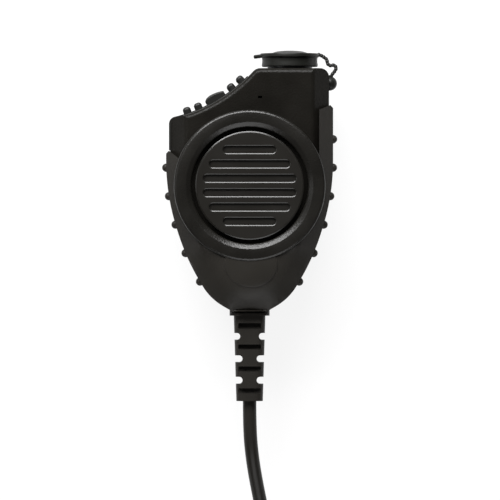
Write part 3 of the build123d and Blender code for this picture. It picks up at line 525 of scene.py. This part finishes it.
makeCap()
ballX, ballY, ballZ = middle("tether_anchor")
ball = dict(radius=3.05, neck=1.15, neckLow=2.8, neckTop=3.45, neckEdge=0.2, steps=26, turnSteps=64)


def makeBall():
    # A moulded ball with a short neck for the tether.
    radius, neck = ball["radius"], ball["neck"]
    start, stop = radians(-90), atan2(ball["neckLow"], neck)
    profile = []
    for step in range(ball["steps"] + 1):
        angle = start + (stop - start) * step / ball["steps"]
        profile.append((radius * cos(angle), radius * sin(angle)))
    top, edge = ball["neckTop"], ball["neckEdge"]
    profile += [(neck, top - edge), (neck - edge, top), (0, top)]
    bm = bmesh.new()
    spinProfile(bm, profile, placed(ballX, ballY, ballZ, upY), ball["turnSteps"])
    return finishPiece("tetherBall", bm, "housing", "cap_rubber", ("tether_anchor",))


makeBall()
# The tether's line in mm from the ball's centre, from the brim down to the neck.
tether = dict(line=[(-4.6, 12.1), (-3.4, 11.7), (-2.1, 10.8), (-1.0, 9.9), (-1.1, 8.4), (0.2, 7.3),
                    (1.9, 7.9), (2.9, 6.5), (2.0, 4.9), (0.9, 3.7), (0.6, 2.9)],
              core=0.68, coreSteps=3, bead=0.84, beadSteps=(14, 9), spacing=1.2)


def makeTether():
    points = [(ballX + x * mm, ballY + y * mm, ballZ) for x, y in tether["line"]]
    route = lineMesh(smoothLine("tetherLine", points))
    spots = evenSpots([vert.co.copy() for vert in route.vertices], tether["spacing"] * mm)
    core = smoothLine("tetherCore", points)
    makeRound(core, tether["core"], tether["coreSteps"])
    bm = bmesh.new()
    bm.from_mesh(lineMesh(core))
    around, upwards = tether["beadSteps"]
    for spot in spots:
        bead = bmesh.ops.create_uvsphere(bm, u_segments=around, v_segments=upwards,
                                         radius=tether["bead"] * mm)["verts"]
        bmesh.ops.translate(bm, verts=bead, vec=spot)
    piece = finishPiece("capTether", bm, None, "tether_nylon", ("cap_tether",))
    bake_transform(piece)
    return piece


makeTether()
print("cap, ball and tether made")


# ---- keys ----

slope = dict(x=-13.4, y=42.6, radius=65.2, turn=30.4)
slopeX, slopeY = caseLow.x + slope["x"] * mm, topY + slope["y"] * mm
keyZ = middle("slope_key")[2]


def slopePlace(turn):
    # Local x runs up the slope, local z points out of it.
    a = radians(turn)
    x, y = slopeX + slope["radius"] * mm * sin(a), slopeY - slope["radius"] * mm * cos(a)
    return Matrix(((cos(a), 0, -sin(a), x), (sin(a), 0, cos(a), y), (0, -1, 0, keyZ), (0, 0, 0, 1)))


# In mm: the top falls away from its crown, and its upper end is creased beyond endShare, above creaseLow.
domeKey = dict(width=9.0, length=12.2, foot=-2.6, cuts=7, crown=3.6, fall=0.036, middle=-1.2, end=0.8,
               sides=0.3, power=5, endShare=0.99, creaseLow=1.5, crease=0.75, levels=2, shadeCrease=60)


def makeDomeKey():
    # A domed rubber key, highest near its lower end.
    half, reach = domeKey["width"] / 2, domeKey["length"] / 2
    bm = bmesh.new()
    verts = bmesh.ops.create_cube(bm, size=1)["verts"]
    bmesh.ops.subdivide_edges(bm, edges=bm.edges[:], cuts=domeKey["cuts"], use_grid_fill=True)
    for vert in bm.verts:
        x, y = vert.co.x * 2, vert.co.y * 2
        top = domeKey["crown"] - domeKey["fall"] * (x * half - domeKey["middle"]) ** 2
        top -= domeKey["end"] * max(-x, 0) ** domeKey["power"]
        top -= domeKey["sides"] * abs(y) ** domeKey["power"]
        share = vert.co.z + 0.5
        vert.co = Vector((x * half, y * reach, domeKey["foot"] + share * (top - domeKey["foot"]))) * mm
    sharp = bm.edges.layers.float.new("crease_edge")
    endX, lowZ = domeKey["endShare"] * half * mm, domeKey["creaseLow"] * mm
    for edge in bm.edges:
        if all(vert.co.x > endX and vert.co.z > lowZ for vert in edge.verts):
            edge[sharp] = domeKey["crease"]
    bmesh.ops.transform(bm, matrix=slopePlace(slope["turn"]), verts=bm.verts)
    piece = finishPiece("slopeDome", bm, "slope_button", "key_rubber", ("slope_key",),
                        crease=domeKey["shadeCrease"])
    soft = piece.modifiers.new("soft", "SUBSURF")
    soft.levels = soft.render_levels = domeKey["levels"]
    return piece


makeDomeKey()
print("keys made")


# ---- softened copies of CAD parts ----

def copiedMesh(node):
    bm = bmesh.new()
    bm.from_mesh(nodes[node].data)
    bmesh.ops.remove_doubles(bm, verts=bm.verts, dist=fineWeld)
    return bm


# The ridges beside the slope key, in mm: how far along the slope, their size, and what is cut away for them.
guard = dict(along=(-13.3, -8.2, 8.2, 13.3), size=(3.4, 14.0, 4.6), high=3.1, radius=1.3, edgeSteps=6,
             cutWider=0.4, cutLow=0.7, cutHigh=6, crease=40)


def makeKeyStrip():
    # The key strip with rounded ridges in place of the square ones.
    bm = copiedMesh("key_strip")
    places = [slopePlace(slope["turn"] + degrees(along / slope["radius"])) for along in guard["along"]]
    half = (guard["size"][0] / 2 + guard["cutWider"]) * mm
    for place in places:
        inverse = place.inverted()
        doomed = []
        for vert in bm.verts:
            local = inverse @ vert.co
            if abs(local.x) < half and guard["cutLow"] * mm < local.z < guard["cutHigh"] * mm:
                doomed.append(vert)
        bmesh.ops.delete(bm, geom=doomed, context="VERTS")
    bmesh.ops.holes_fill(bm, edges=[edge for edge in bm.edges if edge.is_boundary])
    for place in places:
        raised = Matrix.Translation((0, 0, (guard["high"] - guard["size"][2] / 2) * mm))
        roundedBlock(bm, guard["size"], place @ raised, guard["radius"], guard["edgeSteps"])
    bmesh.ops.triangulate(bm, faces=[face for face in bm.faces if len(face.verts) > 4])
    piece = finishPiece("keyStrip", bm, "housing", "key_rubber", ("key_strip",), crease=guard["crease"])
    evenNormals(piece.data)


# The grip's lower front, in mm. Its height is worked out on 1 mm cells, where it is more than over. A cell
# is fixed below lowest and free above free, and each round moves it by share towards its neighbours.
# Points higher than bendsOver follow the cells. A face counts where its normal's z is more than the facing
# value, and a cut takes points within near of it as lying on it.
gripForm = dict(step=1.5, front=-8.0, fade=6, back=-37.0, beyond=12, side=36, cutSide=34.5, cutBack=-36.5,
                over=30, bendsOver=31, lowest=35.6, free=37.6, rounds=70, share=0.2, skin=1.7,
                ringRadius=31.9, facing=0.2, shellFacing=0.5, cutFacing=0.25, near=0.02, crease=40)
# Rays that look for a surface below start this high, in metres.
rayHigh = 0.1


def rayDown(tree, x, y):
    # Where a ray straight down meets a surface, and the surface's normal there.
    return tree.ray_cast(Vector((x, y, rayHigh)), (0, 0, -1))[:2]


def cutAcross(bm, axis, start, stop):
    # Cuts the front of the grip into strips, so that it can bend smoothly.
    place = start
    while place <= stop:
        near = [face for face in bm.faces if abs(face.normal.z) > gripForm["cutFacing"]]
        near = [face for face in near if face.verts[0].co.z > gripForm["over"] * mm]
        near = [face for face in near if min(vert.co.y for vert in face.verts) < gripForm["front"] * mm]
        parts = {item for face in near for item in (face, *face.verts, *face.edges)}
        spot, way = Vector((0, 0, 0)), Vector((0, 0, 0))
        spot[axis], way[axis] = place * mm, 1
        bmesh.ops.bisect_plane(bm, geom=list(parts), dist=gripForm["near"] * mm, plane_co=spot, plane_no=way)
        place += gripForm["step"]


def gripHeights(tree, shellTree, top):
    # The front's height over each 1 mm cell, carried on under the ring.
    heights = {}
    for column in range(-gripForm["side"], gripForm["side"] + 1):
        for row in range(int(gripForm["back"]), int(gripForm["front"]) + gripForm["beyond"]):
            x, y = column * mm, row * mm
            spot, normal = rayDown(tree, x, y)
            if spot and normal.z > gripForm["facing"] and spot.z > gripForm["over"] * mm:
                heights[column, row] = spot.z / mm
                continue
            inRing = hypot(x - plateX, y - plateY) < gripForm["ringRadius"] * mm
            spot, normal = rayDown(shellTree, x, y)
            if inRing and spot and normal.z > gripForm["shellFacing"] and spot.z > gripForm["over"] * mm:
                heights[column, row] = spot.z / mm + gripForm["skin"] / normal.z
            elif inRing:
                heights[column, row] = top / mm
    return heights


def softHeights(heights):
    given = dict(heights)
    freedom = {}
    for (column, row), height in given.items():
        free = ramp(height, gripForm["lowest"], gripForm["free"])
        freedom[column, row] = free * (1 - ramp(row, gripForm["front"] - gripForm["fade"], gripForm["front"]))
    for _ in range(gripForm["rounds"]):
        moved = {}
        for (column, row), height in heights.items():
            if freedom[column, row] == 0:
                continue
            around = [(column + 1, row), (column - 1, row), (column, row + 1), (column, row - 1)]
            pull = sum(heights[cell] - height for cell in around if cell in heights)
            moved[column, row] = height + gripForm["share"] * freedom[column, row] * pull
        heights.update(moved)
    return {cell: heights[cell] - given[cell] for cell in given}


def shiftAt(shifts, x, y):
    # The shift at a spot between four cells.
    column, row = int(x // 1), int(y // 1)
    right, up = x - column, y - row
    lower = shifts.get((column, row), 0) * (1 - right) + shifts.get((column + 1, row), 0) * right
    upper = shifts.get((column, row + 1), 0) * (1 - right) + shifts.get((column + 1, row + 1), 0) * right
    return lower * (1 - up) + upper * up


def evenNormals(mesh, angle=38):
    # Shades each face corner by the larger faces round it, so flat stretches stay flat.
    limit = cos(radians(angle))
    around = [[] for _ in mesh.vertices]
    for face in mesh.polygons:
        for index in face.vertices:
            around[index].append((face.normal.copy(), face.area))
    normals = []
    for face in mesh.polygons:
        for index in face.vertices:
            total = Vector((0, 0, 0))
            for normal, area in around[index]:
                if normal.dot(face.normal) > limit:
                    total += normal * area
            normals.append(total.normalized())
    mesh.normals_split_custom_set(normals)


def findShifts():
    boot, shell = copiedMesh("grip_boot"), copiedMesh("front_shell")
    top = max(vert.co.z for vert in boot.verts)
    shifts = softHeights(gripHeights(BVHTree.FromBMesh(boot), BVHTree.FromBMesh(shell), top))
    boot.free()
    shell.free()
    lowered, raised = round(-min(shifts.values()), 2), round(max(shifts.values()), 2)
    print("grip lowered by up to", lowered, "mm, raised by", raised)
    return shifts


def bentSkin(name, node):
    # A CAD skin with its lower front drawn into one soft curve.
    bm = copiedMesh(node)
    cutAcross(bm, 0, -gripForm["cutSide"], gripForm["cutSide"])
    cutAcross(bm, 1, gripForm["cutBack"], gripForm["front"])
    for vert in bm.verts:
        if vert.co.z > gripForm["bendsOver"] * mm:
            vert.co.z += shiftAt(gripShifts, vert.co.x / mm, vert.co.y / mm) * mm
    bmesh.ops.triangulate(bm, faces=[face for face in bm.faces if len(face.verts) > 3])
    piece = finishPiece(name, bm, "housing", nodeSlots[node], (node,), crease=gripForm["crease"])
    evenNormals(piece.data)
    return piece


makeKeyStrip()
gripShifts = findShifts()
gripSkin = bentSkin("gripSkin", "grip_boot")
bentSkin("shellSkin", "front_shell")
print("softened parts made")


# ---- ring ----

# Half section as (radius, height above the ring's top): outer wall, rolled edge, flat, dish and inner wall.
ring = dict(profile=[(31.9, -8.0), (31.62, -1.1), (31.56, -0.7), (31.42, -0.42), (30.72, -0.06), (30.5, 0),
                     (26.9, 0), (26.6, -0.05), (26.35, -0.19), (25.9, -0.46), (25.3, -0.83), (24.75, -1.18),
                     (24.5, -1.45), (24.4, -1.9), (24.4, -3.2), (24.4, -5.5), (25.7, -5.5), (25.7, -8.0),
                     (31.9, -8.0)], steps=192, crease=40)


def makeRing():
    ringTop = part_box("speaker_ring")[1].z
    bm = bmesh.new()
    spinProfile(bm, ring["profile"], placed(plateX, plateY, ringTop), ring["steps"])
    return finishPiece("frontRing", bm, "housing", "bezel", ("speaker_ring",), crease=ring["crease"])


makeRing()
# The plate's level slots, in mm: their pitch, height and the circle that their corners lie on.
# A lip's section, round a slot or the plate's rim, is (way out from the edge, height over the plate).
slots = dict(pitch=6.0, height=3.3, circle=20.0, rows=6, arc=24,
             edge=[(0.26, 0.012), (-0.06, -0.145), (-0.06, -0.7), (0.26, -0.7)],
             rim=[(-0.31, 0.012), (0.1, -0.225), (0.1, -0.9), (-0.31, -0.9)], rimSteps=160)


def addSlotLip(bm, v, half, top):
    # A sloped lip round one slot: its outline, extruded through the lip's section.
    radius, reach = slots["height"] / 2, half - slots["height"] / 2
    points = []
    for side in (1, -1):
        for step in range(slots["arc"] + 1):
            angle = pi * (step / slots["arc"] - 0.5) + (pi if side < 0 else 0)
            x, y = side * reach + radius * cos(angle), v + radius * sin(angle)
            points.append((plateX + x * mm, plateY + y * mm, top))
    edges = addLoop(bm, points)
    was = radius
    for number, (out, height) in enumerate(slots["edge"] + slots["edge"][:1]):
        if number > 0:
            grown = bmesh.ops.extrude_edge_only(bm, edges=edges)["geom"]
            edges = [part for part in grown if isinstance(part, bmesh.types.BMEdge) and part.is_boundary]
        verts = {vert for edge in edges for vert in edge.verts}
        for vert in verts:
            side = 1 if vert.co.x > plateX else -1
            centre = Vector((plateX + side * reach * mm, plateY + v * mm, 0))
            away = (vert.co - centre) * ((radius + out) / was)
            vert.co = Vector((centre.x + away.x, centre.y + away.y, top + height * mm))
        was = radius + out


def makePlateLips():
    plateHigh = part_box("press_plate")[1]
    bm = bmesh.new()
    for row in range(slots["rows"]):
        v = slots["pitch"] * (row - (slots["rows"] - 1) / 2)
        half = sqrt(slots["circle"] ** 2 - (abs(v) + slots["height"] / 2) ** 2)
        addSlotLip(bm, v, half, plateHigh.z)
    radius = (plateHigh.x - plateX) / mm
    edge = [(radius + out, height) for out, height in slots["rim"]]
    spinProfile(bm, edge + edge[:1], placed(plateX, plateY, plateHigh.z), slots["rimSteps"])
    piece = finishPiece("plateLips", bm, "front_plate", "plate")
    piece.data.materials[0] = lipFinish


makePlateLips()
print("ring and plate lips made")


# ---- wave spring under the plate ----

def makeWaveSpring():
    piece = finishPiece("waveSpring", copiedMesh("plate_wave_spring"), None, "steel", ("plate_wave_spring",))
    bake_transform(piece)


makeWaveSpring()
print("wave spring made")


# ---- oval pad under the ring ----

# Half section as (share of the way out, height above the grip in mm), from the middle to below the edge.
pad = dict(x=0.6, v=-33.0, halfWidth=11.3, halfHeight=9.7, steps=120, top=-28.2, over=36,
           section=[(0.25, 0.28), (0.5, 0.28), (0.75, 0.28), (0.9, 0.28), (0.965, 0.28), (0.985, 0.2),
                    (1.0, 0.0), (1.0, -0.4)])


def makePad():
    # A bare oval pad that follows the grip's curve; the ring hides its upper end.
    grip = BVHTree.FromPolygons([vert.co for vert in gripSkin.data.vertices],
                                [face.vertices for face in gripSkin.data.polygons])
    gripTop = gripSkin.bound_box[6][2]
    bm = bmesh.new()
    loops = []
    for share, height in pad["section"]:
        points = []
        for step in range(pad["steps"]):
            angle = 2 * pi * step / pad["steps"]
            x = plateX + (pad["x"] + share * pad["halfWidth"] * cos(angle)) * mm
            v = min(pad["v"] + share * pad["halfHeight"] * sin(angle), pad["top"])
            spot = rayDown(grip, x, plateY + v * mm)[0]
            surface = spot.z if spot and spot.z > pad["over"] * mm else gripTop
            points.append((x, plateY + v * mm, surface + height * mm))
        loops.append(addLoop(bm, points))
    bridgeAll(bm, loops)
    bmesh.ops.contextual_create(bm, geom=loops[0])
    bmesh.ops.contextual_create(bm, geom=loops[-1])
    bmesh.ops.triangulate(bm, faces=[face for face in bm.faces if len(face.verts) > 4])
    return finishPiece("ovalPad", bm, "housing", "grip")


makePad()
print("pad made")


# ---- clip spring ----

hingeX, hingeY, hingeZ = middle("clip_pin")
# In mm from the hinge pin's middle.
spring = dict(half=4.3, radius=2.25, wire=0.5, wireSteps=3, turns=7, pointsPerTurn=14, firstAngle=120,
              baseLeg=[(-3.5, -12, 1.0), (-3.5, -4, 1.0), (-4.3, -1.6, 1.6)],
              jawLeg=[(4.0, -3.6, -2.2), (3.5, -6, -2.4), (3.5, -12, -2.4)], turnsWithJaw=(1.0, 1.9))


def makeSpring():
    # Wound wire round the hinge pin, with a leg under the base and a leg on the jaw.
    half, radius = spring["half"], spring["radius"]
    points = [Vector(spot) for spot in spring["baseLeg"]]
    count = spring["turns"] * spring["pointsPerTurn"]
    for step in range(count + 1):
        share = step / count
        angle = radians(spring["firstAngle"]) - 2 * pi * spring["turns"] * share
        points.append(Vector((half * (2 * share - 1), radius * cos(angle), radius * sin(angle))))
    points += [Vector(spot) for spot in spring["jawLeg"]]
    curve = smoothLine("springLine", [Vector((hingeX, hingeY, hingeZ)) + p * mm for p in points])
    makeRound(curve, spring["wire"], spring["wireSteps"])
    piece = finishMesh("hingeSpring", lineMesh(curve), None, "steel", ("clip_spring",))
    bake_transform(piece)


makeSpring()
print("spring made")


# ---- stage, light and camera ----

stage = dict(size=40, drop=0.02, tone=0.8, rough=0.9, specular=0.1, glow=0.86, room=(0.1, 0.12))


def makeFloor():
    bm = bmesh.new()
    bmesh.ops.create_grid(bm, x_segments=1, y_segments=1, size=stage["size"] / 2)
    mesh = bpy.data.meshes.new("floor")
    bm.to_mesh(mesh)
    bm.free()
    mesh.transform(Matrix.Translation((0, 0, -stage["drop"] * mm)))
    floor = bpy.data.objects.new("floor", mesh)
    bpy.context.scene.collection.objects.link(floor)
    material = bpy.data.materials.new("paleFloor")
    material.use_nodes = True
    tree = material.node_tree
    link = tree.links.new
    shader = tree.nodes["Principled BSDF"]
    shader.inputs["Base Color"].default_value = (*[stage["tone"]] * 3, 1)
    shader.inputs["Roughness"].default_value = stage["rough"]
    shader.inputs["Specular IOR Level"].default_value = stage["specular"]
    # Seen directly, in a reflection or through something, the floor is mostly an even white glow.
    path = addNode(tree, "ShaderNodeLightPath")
    seen = addNode(tree, "ShaderNodeMath", operation="ADD")
    link(path.outputs["Is Camera Ray"], seen.inputs[0])
    link(path.outputs["Is Glossy Ray"], seen.inputs[1])
    through = addNode(tree, "ShaderNodeMath", operation="ADD")
    link(seen.outputs[0], through.inputs[0])
    link(path.outputs["Is Transmission Ray"], through.inputs[1])
    share = addNode(tree, "ShaderNodeMath", operation="MULTIPLY")
    link(through.outputs[0], share.inputs[0])
    share.inputs[1].default_value = stage["glow"]
    glow = addNode(tree, "ShaderNodeEmission")
    mix = addNode(tree, "ShaderNodeMixShader")
    link(share.outputs[0], mix.inputs["Fac"])
    link(shader.outputs[0], mix.inputs[1])
    link(glow.outputs[0], mix.inputs[2])
    link(mix.outputs[0], tree.nodes["Material Output"].inputs["Surface"])
    floor.data.materials.append(material)


def makeRoom():
    # A plain room, a little brighter overhead than low down.
    world = bpy.data.worlds.new("room")
    bpy.context.scene.world = world
    world.use_nodes = True
    tree = world.node_tree
    link = tree.links.new
    way = addNode(tree, "ShaderNodeTexCoord")
    part = addNode(tree, "ShaderNodeSeparateXYZ")
    link(way.outputs["Generated"], part.inputs[0])
    fade = addNode(tree, "ShaderNodeMapRange")
    link(part.outputs["Z"], fade.inputs["Value"])
    setRange(fade, "To", stage["room"])
    link(fade.outputs["Result"], tree.nodes["Background"].inputs["Strength"])
    tree.nodes["Background"].inputs["Color"].default_value = (1, 1, 1, 1)


# Each lamp's place and size in metres and its power in watts; all of them point at aim.
lamps = dict(topLight=((-0.16, 0.8, 0.66), (0.95, 0.5), 34), leftLight=((-0.8, 0.1, 0.6), (0.3, 0.5), 0.8),
             lowLight=((0.1, -0.95, 0.5), (0.9, 0.7), 8))
aim = Vector((0, 0, 0.02))


def addLamp(name, place, size, power):
    data = bpy.data.lights.new(name, "AREA")
    data.shape = "RECTANGLE"
    data.size, data.size_y = size
    data.energy = power
    lamp = bpy.data.objects.new(name, data)
    bpy.context.scene.collection.objects.link(lamp)
    lamp.location = place
    lamp.rotation_euler = (aim - Vector(place)).to_track_quat("-Z", "Y").to_euler()


view = dict(centre=(0.17 * mm, -9.95 * mm), plane=30 * mm, field=210 * mm, distance=2.5, tilt=0.3, sensor=36,
            farthest=20)


def makeCamera():
    data = bpy.data.cameras.new("camera")
    data.sensor_width = view["sensor"]
    data.lens = view["sensor"] * view["distance"] / view["field"]
    data.clip_end = view["farthest"]
    camera = bpy.data.objects.new("camera", data)
    bpy.context.scene.collection.objects.link(camera)
    tilt = radians(view["tilt"])
    x, y = view["centre"]
    camera.location = (x, y + view["distance"] * sin(tilt), view["plane"] + view["distance"] * cos(tilt))
    camera.rotation_euler = (-tilt, 0, 0)
    bpy.context.scene.camera = camera


makeFloor()
makeRoom()
makeCamera()
for lampName, (lampPlace, lampSize, lampPower) in lamps.items():
    addLamp(lampName, lampPlace, lampSize, lampPower)
bpy.context.scene.view_settings.view_transform = "Standard"
